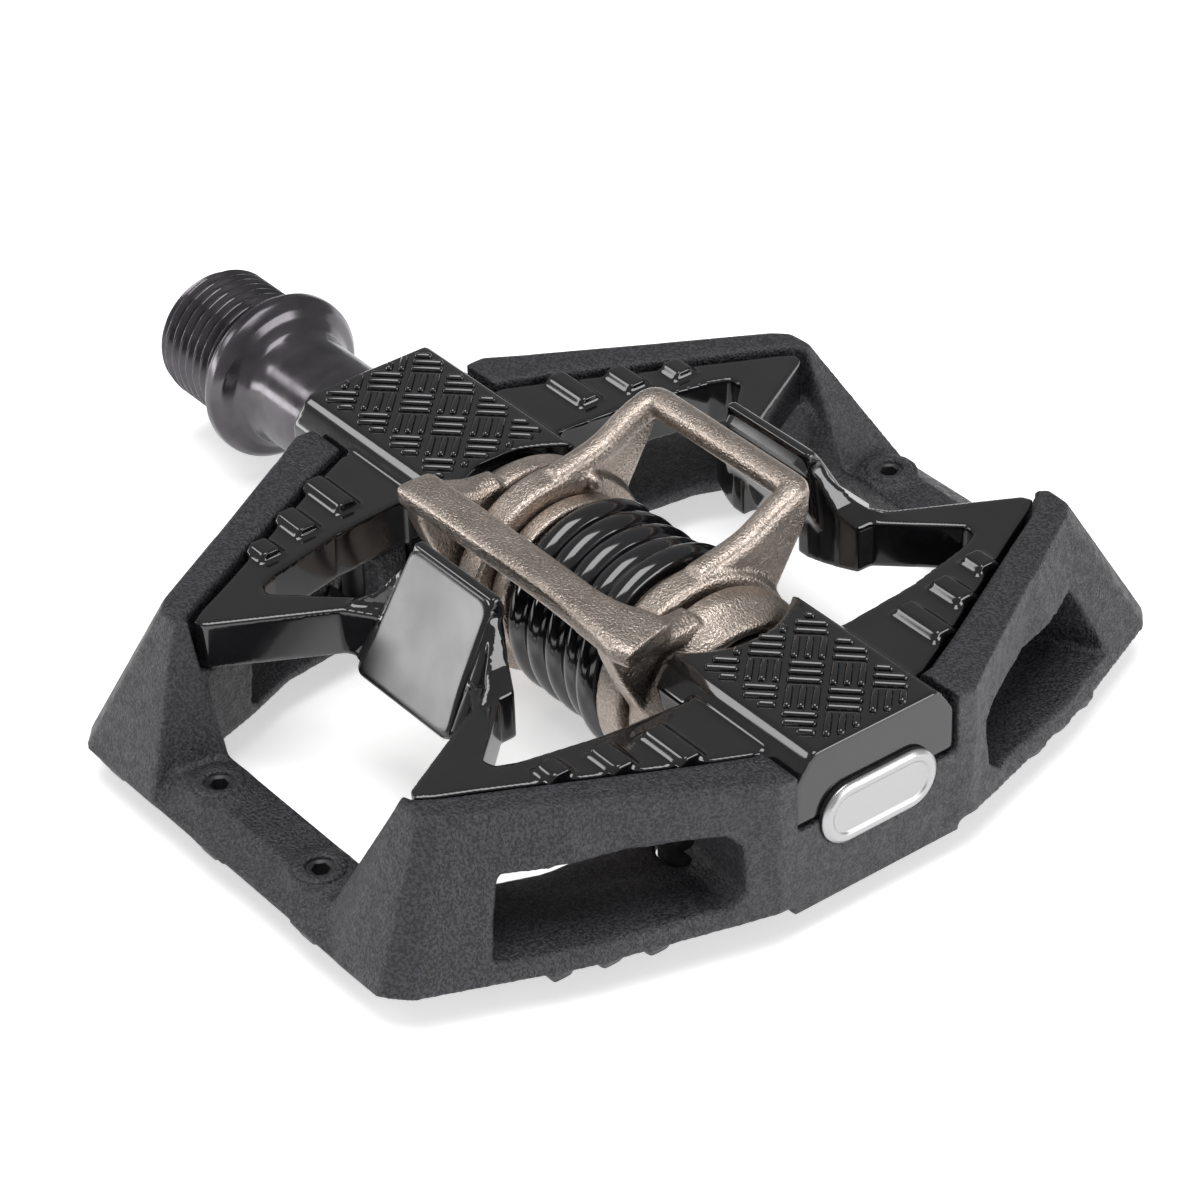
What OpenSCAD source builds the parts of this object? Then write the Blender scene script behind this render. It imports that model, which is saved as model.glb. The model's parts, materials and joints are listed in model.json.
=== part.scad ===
// Clipless platform pedal: spindle, sprung two-wing mechanism, clip frame and outer cage.
// X runs along the spindle away from the crank, Y from front to rear, Z up on the clip side.
// The origin is the centre of the spindle shoulder that seats on the crank arm.

/* [Spindle] */
// Major diameter of the 9/16 in x 20 tpi pedal thread
thread_d = 14.29; // [14:0.01:14.6]
// Length of the threaded stub
thread_len = 11.4; // [9:0.1:13]
// Diameter of the flange that seats on the crank arm
flange_d = 18; // [16:0.5:20]
// Thickness of the flange rim
flange_t = 1.7; // [1:0.1:2.4]
// Diameter of the bare neck between flange and body
neck_d = 12; // [11.6:0.1:12.2]
// Width across flats of the hex socket in the threaded end
socket_af = 8; // [6:1:8]

/* [Platform] */
// Distance from the shoulder to the middle of the platform
mid_x = 58; // [57.5:0.5:60]
// Height of the flat tops of the cage above the axis
cage_top = 7.05; // [6.8:0.05:7.4]
// Depth of the cage underside below the axis
cage_deep = 7.1; // [6.8:0.1:7.6]
// Half width from the axis to the front edge of the cage
cage_half_y = 45.6; // [44:0.1:48]
// Height of the arms of the clip frame above the axis
arm_top = 6.6; // [6:0.1:6.9]
// Height of the underside of the frame arms
arm_low = 1.5; // [1.2:0.1:2]
// Height of the tread pads above the axis
pad_top = 8.3; // [8:0.1:9]
// Half width of the flat top of the tread pads
pad_half = 7; // [6.5:0.1:7.4]
// Half width of the spine that houses the spindle
spine_half = 9.2; // [8.8:0.1:9.4]
// Height of the guide plates in front of and behind the mechanism
guide_top = 13.5; // [12.5:0.1:14]

/* [Mechanism] */
// Outer diameter of the pivot tube that the wings turn on
tube_d = 13.8; // [13.6:0.1:14]
// Running clearance between the tube and the wing rings
run_gap = 0.05; // [0.02:0.01:0.08]
// Outer radius of the rings of the outer wing
outer_ring_r = 9.9; // [9.5:0.1:10.2]
// Outer radius of the rings of the inner wing
inner_ring_r = 10.6; // [10:0.1:10.8]
// Wire diameter of the torsion spring
wire_d = 2.8; // [2.2:0.1:2.8]
// Mean radius of the spring coils
coil_r = 8.5; // [8.4:0.1:8.8]

/* [Traction] */
// Diameter of the threaded traction pins
pin_d = 4; // [3:0.5:5]
// How far the pin tips stand out below the cage
pin_out = 2.4; // [1.5:0.1:3]
// Height of the moulded knobs under the cage
knob_h = 1.2; // [0.8:0.1:1.6]

/* [Hidden] */
$fn = 64;

// Spindle stations along X, and the cone behind the flange as [radius, x]
flange_cone = [[7.4, 2.9], [6.5, 4.2]];
neck_x = [5.6, 24];
core_r = 5;
neck_ring_x = 22.3;
neck_ring_r = 0.48;
bushing_x = [24, 35];
bushing_r = [5.5, 7];
tube_x = [35.5, 76.5];
bearing_x = [77, 82];
race_r = [3, 4.05, 5.75, 6.5];
washer_t = 0.8;
nut_t = 3.6;
nut_af = 10;
seal_x = [17.4, 20.6];
seal_r = [6.05, 7.4];
circlip_x = [82.3, 83.3];
end_wall_x = 92.4;
cap_x = [94.4, 95.3];
cap_half = [6.65, 3.15];
cap_z = 0.5;
cap_gap = 0.12;
gasket_t = 0.3;
plug_x = 91;
slot_in = 0.75;
bore_out = 6;

// Platform ends
pad_in_x = 17.4;
pad_out_x = 94.4;
spine_out_x = 90.6;
bridge_x = [90.8, 94.8];
bridge_z = [-8.2, 0.9];
split_z = 1;

// Wing stations measured from the middle of the platform
outer_ring_x = [13.3, 15.6, 18.1];
outer_ring_tip = 7.9;
inner_ring_x = [9.2, 12.6];
collar_in = [[6.9, 9], 8.8];
collar_out = [[7.6, 9], 7.7];
ring_bore = tube_d / 2 + run_gap;
pocket_x = [16.6, 19.6];
pocket_r = [10.8, 8.3];

// Places of the screws and pins, from the middle of the platform
pin_at = [8.1, 40.4];
screw_at = [25.6, 12.4];

// A solid cylinder along X between two stations
module rod(x0, x1, r) {
    translate([x0, 0, 0]) rotate([0, 90, 0]) cylinder(h = x1 - x0, r = r);
}

// A ring along X between two stations
module ring(x0, x1, r_in, r_out) {
    difference() {
        rod(x0, x1, r_out);
        rod(x0 - 1, x1 + 1, r_in);
    }
}

// A solid of revolution about X; the points are [radius, x]
module turned(points) {
    rotate([0, 90, 0]) rotate_extrude() polygon(points);
}

// A prism along X whose section is given in Y and Z
module along_x(x0, x1, section) {
    translate([x0, 0, 0]) rotate([90, 0, 90]) linear_extrude(x1 - x0) polygon(section);
}

// Copies of the children on the four quarters about the middle of the platform
module quarters() {
    translate([mid_x, 0, 0]) {
        children();
        mirror([1, 0, 0]) children();
        mirror([0, 1, 0]) children();
        mirror([1, 0, 0]) mirror([0, 1, 0]) children();
    }
}

// Copies of the children on the inboard and outboard halves
module halves() {
    translate([mid_x, 0, 0]) {
        children();
        mirror([1, 0, 0]) children();
    }
}

// Triangulated skin that joins a row of sections with the same number of points.
// Each section runs clockwise as seen from the end that the row runs towards.
module skin(sections) {
    n = len(sections[0]);
    m = len(sections);
    points = [for (s = sections) for (p = s) p];
    sides = [
        for (i = [0 : m - 2]) for (j = [0 : n - 1]) for (half = [0, 1])
            let (a = i * n + j, b = i * n + (j + 1) % n)
            half == 0 ? [a, b, b + n] : [a, b + n, a + n]
    ];
    first = [for (j = [n - 1 : -1 : 0]) j];
    last = [for (j = [0 : n - 1]) (m - 1) * n + j];
    polyhedron(points, concat([first], sides, [last]), convexity = 8);
}

// ---------------------------------------------------------------- spindle group

module spindle() {
    color("#1d1d20") difference() {
        union() {
            rod(-thread_len, 0, thread_d / 2);
            turned([
                [0, 0], [flange_d / 2, 0], [flange_d / 2, flange_t], flange_cone[0], flange_cone[1],
                [neck_d / 2, neck_x[0]], [neck_d / 2, neck_x[1]], [0, neck_x[1]]
            ]);
            rod(neck_x[1] - 1, tube_x[0], bushing_r[0]);
            rod(tube_x[0] - 1, bearing_x[0], core_r);
            rod(bearing_x[0] - 1, bearing_x[1] + washer_t + nut_t + 1, race_r[0]);
        }
        translate([-thread_len - 1, 0, 0]) rotate([0, 90, 0]) rotate([0, 0, 30])
            cylinder(h = 9, r = socket_af / sqrt(3), $fn = 6);
    }
}

module spindle_o_ring() {
    color("#202020") translate([neck_ring_x, 0, 0]) rotate([0, 90, 0])
        rotate_extrude() translate([neck_d / 2 + neck_ring_r, 0]) circle(r = neck_ring_r, $fn = 24);
}

module bearing_inner_race() {
    color("silver") ring(bearing_x[0], bearing_x[1], race_r[0], race_r[1]);
}

module nut_washer() {
    color("silver") ring(bearing_x[1], bearing_x[1] + washer_t, race_r[0], 4.6);
}

module spindle_nut() {
    x0 = bearing_x[1] + washer_t;
    color("#8a8a8c") difference() {
        translate([x0, 0, 0]) rotate([0, 90, 0]) cylinder(h = nut_t, r = nut_af / sqrt(3), $fn = 6);
        rod(x0 - 1, x0 + nut_t + 1, race_r[0]);
    }
}

// ---------------------------------------------------------------- ball set

ball_count = 9;
ball_r = 0.8;
ball_path = 4.9;
race_mid = (bearing_x[0] + bearing_x[1]) / 2;

module bearing_balls() {
    color("gainsboro") for (i = [0 : ball_count - 1]) rotate([i * 360 / ball_count, 0, 0])
        translate([race_mid, 0, ball_path]) sphere(r = ball_r, $fn = 24);
}

module ball_cage() {
    color("goldenrod") difference() {
        ring(race_mid - 1.1, race_mid + 1.1, ball_path - 0.35, ball_path + 0.35);
        for (i = [0 : ball_count - 1]) rotate([i * 360 / ball_count, 0, 0])
            translate([race_mid, 0, 0]) cylinder(h = 8, r = ball_r + 0.08, $fn = 24);
    }
}

// ---------------------------------------------------------------- clip frame

// Section of the spine across the spindle, with the bevelled tread pad on top
keel_half = 7.2;
keel_side = 6.4;
strip_half = 7.8;
strip_z = 7.6;
shoulder_z = 5.6;
spine_section = [
    [-pad_half, pad_top], [-strip_half, strip_z], [-spine_half, shoulder_z], [-spine_half, -keel_side],
    [-keel_half, -pad_top], [keel_half, -pad_top], [spine_half, -keel_side], [spine_half, shoulder_z],
    [strip_half, strip_z], [pad_half, pad_top]
];

// Plan of one arm with its strut, from the middle of the platform
arm_plan = [
    [21.6, 6], [20.6, 18], [18.9, 26], [18, 28], [16.6, 28.2], [10.5, 21.8], [6, 19.6],
    [6, 21.9], [10, 24.6], [16.2, 35.7], [17.3, 36.2], [18.4, 34.6], [20, 31.4], [29, 14.6],
    [31.4, 9.8], [31.4, 6]
];

// Level and size of the chamfered ridges on one arm: [y, x from, x to]
ridges = [[14.6, 23.2, 29], [19.8, 22.2, 26.2], [24.8, 21, 23.6]];
ridge_h = 0.9;

// Wall levels of a guide plate: [z, half width, back y]. Its front face is one sloping plane.
guide_levels = [[arm_low, 7.3, 19.8], [7, 6.7, 17.8], [guide_top, 6, 17.8]];
guide_foot_y = 25.2;
guide_crest_y = 18.8;
guide_slope = (guide_foot_y - guide_crest_y) / (guide_top - arm_low);
function guide_face(z) = guide_foot_y - guide_slope * (z - arm_low);

// Sections of the flank that climbs from a strut to the plate: [x, back y, foot y, crest y, crest z]
flanks = [
    [4, 18.2, 23.2, 18.7, 12.6], [5.6, 18.2, 23.2, 18.9, 12.6], [7, 18.6, 23.6, 20, 10.6],
    [8.6, 19.2, 24.1, 21.9, 8], [10.6, 20.2, 24.5, 24, arm_top]
];

module guide_plate() {
    skin([for (g = guide_levels)
        [[-g[1], guide_face(g[0]), g[0]], [g[1], guide_face(g[0]), g[0]],
            [g[1], g[2], g[0]], [-g[1], g[2], g[0]]]]);
    for (side = [0, 1]) mirror([side, 0, 0]) skin([for (f = flanks)
        [[f[0], f[1], arm_low], [f[0], f[1], f[4]], [f[0], f[3], f[4]], [f[0], f[2], arm_low]]]);
}

module ridge(r) {
    y = r[0];
    z = arm_top + ridge_h;
    translate([r[1], 0, 0]) rotate([90, 0, 90]) linear_extrude(r[2] - r[1]) polygon([
        [y - 1.5, arm_top - 0.4], [y - 1.5, arm_top + 0.1], [y - 0.8, z],
        [y + 0.8, z], [y + 1.5, arm_top + 0.1], [y + 1.5, arm_top - 0.4]
    ]);
}

module clip_frame() {
    color("#121214") difference() {
        union() {
            along_x(pad_in_x, spine_out_x, spine_section);
            intersection() {
                along_x(spine_out_x - 1, pad_out_x, spine_section);
                translate([spine_out_x - 2, -20, split_z]) cube([10, 40, 20]);
            }
            quarters() translate([0, 0, arm_low]) linear_extrude(arm_top - arm_low) polygon(arm_plan);
            quarters() for (r = ridges) ridge(r);
            translate([mid_x, 0, 0]) guide_plate();
            translate([mid_x, 0, 0]) mirror([0, 1, 0]) guide_plate();
        }
        translate([mid_x, 0, 0]) turned([
            [0, -pocket_x[1]], [pocket_r[1], -pocket_x[1]], [pocket_r[0], -pocket_x[0]],
            [16, -pocket_x[0]], [16, pocket_x[0]], [pocket_r[0], pocket_x[0]],
            [pocket_r[1], pocket_x[1]], [0, pocket_x[1]]
        ]);
        rod(pad_in_x - 1, seal_x[1], seal_r[1]);
        rod(seal_x[1] - 1, bushing_x[1], bushing_r[1]);
        rod(bushing_x[1] - 1, tube_x[1], tube_d / 2);
        rod(tube_x[1] - 1, circlip_x[0], race_r[3]);
        rod(circlip_x[0], circlip_x[1], race_r[3] + 0.5);
        rod(circlip_x[1] - 0.5, end_wall_x, bore_out);
        cap_prism(end_wall_x - 1, pad_out_x + 1, -slot_in);
        quarters() translate([screw_at[0], screw_at[1], 0]) cylinder(h = 5, r = 1.7);
    }
}

// ---------------------------------------------------------------- platform cage

// Sections of the cage on one quarter, from the middle of the front bar to the spine.
// Each lists: outer foot, outer crest, inner crest, wall foot, ledge edge, inner foot.
floor_top = -4.8;
cage_stations = [
    [[0, cage_half_y, -cage_deep], [0, 42, floor_top], [0, 37.1, floor_top],
        [0, 37.1, floor_top - 0.6], [0, 37.1, floor_top - 1.2], [0, 37.1, -cage_deep]],
    [[11.5, cage_half_y, -cage_deep], [12.6, 42.4, floor_top], [11.4, 37.1, floor_top],
        [11.4, 37.1, floor_top - 0.6], [11.4, 37.1, floor_top - 1.2], [11.4, 37.1, -cage_deep]],
    [[17.5, cage_half_y, -cage_deep], [17.5, 37.9, cage_top], [16.8, 36.9, cage_top],
        [16.6, 36.8, arm_low], [15.8, 36.1, arm_low], [15.8, 36.1, -cage_deep]],
    [[23.6, 45.4, -cage_deep], [20.3, 37.7, cage_top], [17.9, 36.5, cage_top],
        [17.8, 36.4, arm_low], [16.6, 33.4, arm_low], [16.6, 33.4, -cage_deep]],
    [[25.9, 43.4, -cage_deep], [21.7, 36.3, cage_top], [19.2, 34.6, cage_top],
        [19.1, 34.5, arm_low], [17.6, 30.4, arm_low], [17.6, 30.4, -cage_deep]],
    [[32, 29, -cage_deep], [27.2, 27, cage_top], [23.4, 26.6, cage_top],
        [23.3, 26.5, arm_low], [19.9, 24.8, arm_low], [19.9, 24.8, -cage_deep]],
    [[35.8, 15.8, -cage_deep], [34.2, 15.4, cage_top], [29.6, 15, cage_top],
        [29.5, 14.9, arm_low], [21.4, 13, arm_low], [21.4, 13, -cage_deep]],
    [[37, 11.4, -cage_deep], [36.8, 11.4, cage_top], [32, 10, cage_top],
        [31.9, 9.9, arm_low], [21.6, 9.8, arm_low], [21.6, 9.8, -cage_deep]],
    [[37, spine_half + 0.1, -cage_deep], [36.8, spine_half + 0.1, cage_top],
        [32, spine_half + 0.1, cage_top], [31.9, spine_half + 0.1, arm_low],
        [21.6, spine_half + 0.1, arm_low], [21.6, spine_half + 0.1, -cage_deep]]
];

// The same sections on the inboard side, so that one skin runs from end to end
function turned_round(section, side) =
    [for (i = [len(section) - 1 : -1 : 0]) [side * section[i][0], section[i][1], section[i][2]]];
cage_row = concat(
    [for (i = [len(cage_stations) - 1 : -1 : 1]) turned_round(cage_stations[i], -1)],
    [for (s = cage_stations) turned_round(s, 1)]
);

// Window through a side panel in Y and Z, wider at its outer end, with the corners by the spine cut
window_x = [17, 40];
window_inner = [[12.4, 0], [13.4, 1], [29, 1], [30, -5.9], [13.8, -5.9], [12.4, -4.6]];
window_outer = [[14.6, 0.9], [16.2, 2.7], [41, 2.7], [42.9, -4.8], [16.4, -4.8], [14.8, -3.5]];

module window() {
    skin([for (w = [[window_x[0], window_inner], [window_x[1], window_outer]])
        [for (p = w[1]) [w[0], p[0], p[1]]]]);
}

// Knobs under the cage: along the front and rear bars, and along each side panel
knob_x = [-19.3, -3.8, 11.8];
knob_row_y = 43.6;
knob_y = [22, 26.2, 30.6];
knob_row_x = 32.1;
knob_lean = 0.3;

module knob(x, y, len_x, len_y) {
    z = -cage_deep;
    skin([
        for (level = [[z - knob_h, -0.5], [z + 0.3, 0]])
            let (a = len_x / 2 + level[1], b = len_y / 2 + level[1])
            [[x - a, y + b, level[0]], [x + a, y + b, level[0]],
                [x + a, y - b, level[0]], [x - a, y - b, level[0]]]
    ]);
}

// The long round outline of the end cap as a prism between two stations, larger all round by grow
module cap_prism(x0, x1, grow) {
    r = cap_half[1] + grow;
    reach = cap_half[0] - cap_half[1];
    translate([x0, 0, cap_z]) rotate([90, 0, 90]) linear_extrude(x1 - x0) {
        for (side = [-1, 1]) translate([side * reach, 0]) circle(r = r);
        translate([-reach, -r]) square([2 * reach, 2 * r]);
    }
}

module platform_cage() {
    color("#3a393d") difference() {
        union() {
            translate([mid_x, 0, 0]) {
                skin(cage_row);
                mirror([0, 1, 0]) skin(cage_row);
            }
            translate([bridge_x[0], -spine_half - 0.5, bridge_z[0]])
                cube([bridge_x[1] - bridge_x[0], 2 * spine_half + 1, bridge_z[1] - bridge_z[0]]);
            quarters() translate([pin_at[0], pin_at[1], floor_top - 0.5]) cylinder(h = 0.9, r = 3);
            translate([mid_x, 0, 0]) for (side = [-1, 1]) {
                for (x = knob_x) knob(x, side * knob_row_y, 3.4, 3.2);
                for (end = [-1, 1], y = knob_y)
                    knob(end * (knob_row_x - (y - knob_y[0]) * knob_lean), side * y, 3, 3);
            }
        }
        quarters() window();
        quarters() translate([pin_at[0], pin_at[1], -12]) cylinder(h = 12, r = pin_d / 2);
        quarters() translate([screw_at[0], screw_at[1], -10]) {
            cylinder(h = 15, r = 1.7);
            cylinder(h = 5.2, r = 3.2);
        }
        rod(bridge_x[0] - 1, end_wall_x, bore_out);
        cap_prism(end_wall_x - 1, cap_x[0] + 1, -slot_in);
        cap_prism(cap_x[0], cap_x[1] + 1, cap_gap);
    }
}

// ---------------------------------------------------------------- inside the platform

module inboard_seal() {
    color("#1a1a1a") ring(seal_x[0] + 0.2, seal_x[1], seal_r[0], seal_r[1]);
}

module inboard_bushing() {
    color("#c9b98f") ring(bushing_x[0] + 0.2, bushing_x[1], bushing_r[0] + run_gap, bushing_r[1]);
}

module pivot_tube() {
    color("#55565a") ring(tube_x[0], tube_x[1], 5.6, tube_d / 2);
}

module bearing_outer_race() {
    color("silver") ring(bearing_x[0], bearing_x[1], race_r[2], race_r[3]);
}

module bearing_shields() {
    color("#26262a") {
        ring(bearing_x[0] + 0.2, bearing_x[0] + 0.5, race_r[1] + 0.1, race_r[2]);
        ring(bearing_x[1] - 0.5, bearing_x[1] - 0.2, race_r[1] + 0.1, race_r[2]);
    }
}

module bearing_circlip() {
    color("#4a4a4e") difference() {
        ring(circlip_x[0], circlip_x[1], 5.9, race_r[3] + 0.5);
        translate([circlip_x[0] - 1, -1.2, 0]) cube([4, 2.4, 12]);
    }
}

// Flat gasket under the rim of the cap
module cap_gasket() {
    color("#202020") difference() {
        cap_prism(cap_x[0], cap_x[0] + gasket_t, 0);
        cap_prism(cap_x[0] - 1, cap_x[0] + gasket_t + 1, -slot_in);
    }
}

// Cap on the end face, with a long round plug that fills the slot in the end wall
module end_cap() {
    color("#d9dadc") {
        cap_prism(cap_x[0] + gasket_t, cap_x[1], 0);
        cap_prism(plug_x, cap_x[0] + gasket_t + 0.1, -slot_in - cap_gap);
    }
}

// ---------------------------------------------------------------- mechanism

module wing_collar_inboard() {
    color("#8b7d70") translate([mid_x, 0, 0])
        ring(-collar_in[0][1], -collar_in[0][0], tube_d / 2, collar_in[1]);
}

module wing_collar_outboard() {
    color("#8b7d70") translate([mid_x, 0, 0])
        ring(collar_out[0][0], collar_out[0][1], tube_d / 2, collar_out[1]);
}

// Centre line of the spring. Its last half turn swings out to pass over the outboard collar.
spring_sides = 10;
spring_pitch = wire_d + 0.01;
spring_turns = 4.52;
spring_start = 35;
spring_x0 = -5.2;
spring_steps = 108;
swing = [3.6, 4.0, 0.7];
function swing_at(turn) =
    let (s = min(max((turn - swing[0]) / (swing[1] - swing[0]), 0), 1)) swing[2] * s * s * (3 - 2 * s);
function coil_point(turn) =
    let (a = spring_start + 360 * turn, r = coil_r + swing_at(turn))
    [spring_x0 + spring_pitch * turn, r * cos(a), r * sin(a)];
spring_line = [for (i = [0 : spring_steps]) coil_point(spring_turns * i / spring_steps)];

module torsion_spring() {
    n = len(spring_line);
    color("#101012") translate([mid_x, 0, 0]) skin([
        for (i = [0 : n - 1])
            let (p = spring_line[i], a = atan2(p[2], p[1]))
            [for (j = [0 : spring_sides - 1])
                let (b = 360 * j / spring_sides, r = wire_d / 2)
                [p[0] - r * sin(b), p[1] + r * cos(b) * cos(a), p[2] + r * cos(b) * sin(a)]]
    ]);
}

// Side plate of the outer wing in Y and Z: hub, neck and the front end under the bar
outer_arm = [
    [1, 9.7], [-4.6, 9.6], [-7.2, 10.6], [-9.6, 12.5], [-13.4, 12.4], [-13.9, 10],
    [-12.6, 6.6], [-9.5, 2], [-7, -2], [7, -2], [8, 4]
];
outer_bar = [[-9.6, 12.5], [-9.4, 11], [-10.6, 10.2], [-13.2, 10], [-13.8, 10.6], [-13.4, 12.4]];

module outer_wing() {
    color("#8b7d70") difference() {
        union() {
            halves() turned([
                [0, outer_ring_x[0]], [outer_ring_r, outer_ring_x[0]], [outer_ring_r, outer_ring_x[1]],
                [outer_ring_tip, outer_ring_x[2]], [0, outer_ring_x[2]]
            ]);
            halves() along_x(outer_ring_x[0], outer_ring_x[1] + 0.3, outer_arm);
            translate([mid_x, 0, 0]) along_x(-18, 18, outer_bar);
        }
        rod(mid_x - 30, mid_x + 30, ring_bore);
    }
}

inner_arm = [
    [-2, 10.4], [2.4, 10.6], [5.6, 12], [11, 14.9], [13.6, 15], [14.2, 14.2], [14.1, 12.2],
    [9.6, 6], [9, 2], [4, -2], [-6, 2]
];
inner_bar = [[10.6, 14.3], [11.3, 15], [13.5, 15], [14.2, 14.3], [14.1, 12], [11, 11.9]];

module inner_wing() {
    color("#8b7d70") difference() {
        union() {
            halves() rod(inner_ring_x[0], inner_ring_x[1], inner_ring_r);
            halves() along_x(inner_ring_x[0], inner_ring_x[1] - 0.4, inner_arm);
            translate([mid_x, 0, 0]) along_x(-inner_ring_x[1] + 0.4, inner_ring_x[1] - 0.4, inner_bar);
        }
        rod(mid_x - 30, mid_x + 30, ring_bore);
    }
}

// ---------------------------------------------------------------- fasteners

module traction_pin() {
    low = -cage_deep - pin_out;
    difference() {
        union() {
            translate([0, 0, low + 0.5]) cylinder(h = floor_top - low, r = pin_d / 2);
            translate([0, 0, low]) cylinder(h = 1, r = pin_d / 2 - 0.5);
        }
        translate([0, 0, floor_top - 1.4]) cylinder(h = 4, r = 1.15, $fn = 6);
    }
}

module front_traction_pins() {
    color("#1b1b1d") translate([mid_x, 0, 0]) for (side = [-1, 1])
        translate([side * pin_at[0], -pin_at[1], 0]) traction_pin();
}

module rear_traction_pins() {
    color("#1b1b1d") translate([mid_x, 0, 0]) for (side = [-1, 1])
        translate([side * pin_at[0], pin_at[1], 0]) traction_pin();
}

module cage_screws() {
    color("#2a2a2c") quarters() translate([screw_at[0], screw_at[1], 0]) difference() {
        union() {
            translate([0, 0, -4.8]) cylinder(h = 9.6, r = 1.7);
            translate([0, 0, -6.8]) cylinder(h = 2, r = 3);
        }
        translate([0, 0, -7.8]) cylinder(h = 2.2, r = 1.5, $fn = 6);
    }
}

spindle();
spindle_o_ring();
bearing_inner_race();
nut_washer();
spindle_nut();
ball_cage();
bearing_balls();
clip_frame();
platform_cage();
inboard_seal();
inboard_bushing();
pivot_tube();
bearing_outer_race();
bearing_shields();
bearing_circlip();
cap_gasket();
end_cap();
wing_collar_inboard();
wing_collar_outboard();
torsion_spring();
front_traction_pins();
rear_traction_pins();
cage_screws();
outer_wing();
inner_wing();
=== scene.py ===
# %% [markdown]
# # A clipless platform pedal
# The pedal has a threaded spindle, a gloss black frame that holds two sprung wings, and a rough outer cage.
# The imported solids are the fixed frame. Each cell dresses one piece of it: a plain solid gets a finished surface
# worked out with numpy, or a copy with rolled edges, and a material with its own grain.

import json

import bmesh
import bpy
import numpy as np
from mathutils import Matrix, Vector


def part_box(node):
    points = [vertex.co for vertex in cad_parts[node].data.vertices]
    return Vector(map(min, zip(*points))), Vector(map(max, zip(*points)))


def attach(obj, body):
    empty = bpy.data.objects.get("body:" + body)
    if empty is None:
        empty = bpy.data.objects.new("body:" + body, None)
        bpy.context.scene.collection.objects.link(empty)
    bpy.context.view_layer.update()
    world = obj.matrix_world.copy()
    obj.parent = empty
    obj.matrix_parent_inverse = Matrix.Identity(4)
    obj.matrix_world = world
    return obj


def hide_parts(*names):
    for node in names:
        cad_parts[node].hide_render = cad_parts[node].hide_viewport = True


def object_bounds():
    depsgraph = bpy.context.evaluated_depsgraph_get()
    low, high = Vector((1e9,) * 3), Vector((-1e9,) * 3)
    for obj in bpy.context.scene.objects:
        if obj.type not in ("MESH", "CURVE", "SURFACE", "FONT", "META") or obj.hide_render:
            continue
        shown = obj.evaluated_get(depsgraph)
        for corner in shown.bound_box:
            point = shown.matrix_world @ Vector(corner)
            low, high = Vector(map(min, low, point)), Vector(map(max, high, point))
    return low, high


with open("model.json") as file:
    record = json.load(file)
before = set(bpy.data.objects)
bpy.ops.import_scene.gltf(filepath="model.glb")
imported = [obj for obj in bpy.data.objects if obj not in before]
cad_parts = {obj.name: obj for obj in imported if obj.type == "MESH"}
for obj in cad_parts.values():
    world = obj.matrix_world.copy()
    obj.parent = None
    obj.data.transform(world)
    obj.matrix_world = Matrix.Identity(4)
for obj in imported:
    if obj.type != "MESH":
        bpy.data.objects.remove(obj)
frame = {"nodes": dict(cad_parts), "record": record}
cad_box = [list(map(float, corner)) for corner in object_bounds()]

# %% [markdown]
# ## Measures
# Lengths below are in millimetres, as a maker would write them, and become metres only when a mesh is made.
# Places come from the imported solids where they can, so a piece follows the frame if the frame changes.

# %% Middle of the platform and the levels of the cage
MM = 0.001


def node_box(name):
    """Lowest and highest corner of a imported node, in millimetres."""
    low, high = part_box(name)
    return np.array(low) / MM, np.array(high) / MM


frame_low, frame_high = node_box("clip_frame")
cage_low, cage_high = node_box("platform_cage")
wing_low, wing_high = node_box("outer_wing")
MIDDLE = round(float(wing_low[0] + wing_high[0]) / 2, 2)
print("middle of the platform", MIDDLE, "cage from", cage_low.round(2), "to", cage_high.round(2))

# %% [markdown]
# ## Surfaces from arrays
# Almost every turned, wound or cast piece is a row of rings: a ring of points is placed at each step along a path,
# neighbouring rings are joined by four-sided faces, and a centre point closes each end. One function does the joining
# for all of them, and checks with the signed volume that the faces point outwards.


# %% Joining rings into a closed shell
def shell(rings, joined_up=False):
    """Closed surface through an array of rings [row, column, xyz].

    Each face joins column j and j + 1 of rows i and i + 1. The ends are closed with a fan to the ring's mean point,
    or to each other when joined_up is set. The faces are turned round if the signed volume is negative.
    """
    rows, columns = rings.shape[:2]
    points = rings.reshape(-1, 3)
    i, j = np.meshgrid(np.arange(rows if joined_up else rows - 1), np.arange(columns), indexing="ij")
    after, below = (j + 1) % columns, (i + 1) % rows
    quads = np.stack([i * columns + j, i * columns + after, below * columns + after, below * columns + j], -1)
    quads = quads.reshape(-1, 4)
    fans = np.zeros((0, 3), int)
    if not joined_up:
        points = np.vstack([points, rings[0].mean(0), rings[-1].mean(0)])
        here = np.arange(columns)
        there = (here + 1) % columns
        top = (rows - 1) * columns
        first = np.stack([there, here, np.full(columns, rows * columns)], -1)
        last = np.stack([top + here, top + there, np.full(columns, rows * columns + 1)], -1)
        fans = np.vstack([first, last])
    corners = [points[quads[:, n]] for n in range(4)]
    volume = np.einsum("ij,ij->", corners[0], np.cross(corners[1], corners[2]))
    volume += np.einsum("ij,ij->", corners[0], np.cross(corners[2], corners[3]))
    if len(fans):
        volume += np.einsum("ij,ij->", points[fans[:, 0]], np.cross(points[fans[:, 1]], points[fans[:, 2]]))
    if volume < 0:
        quads, fans = quads[:, ::-1], fans[:, ::-1]
    return points, quads.tolist() + fans.tolist()


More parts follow.
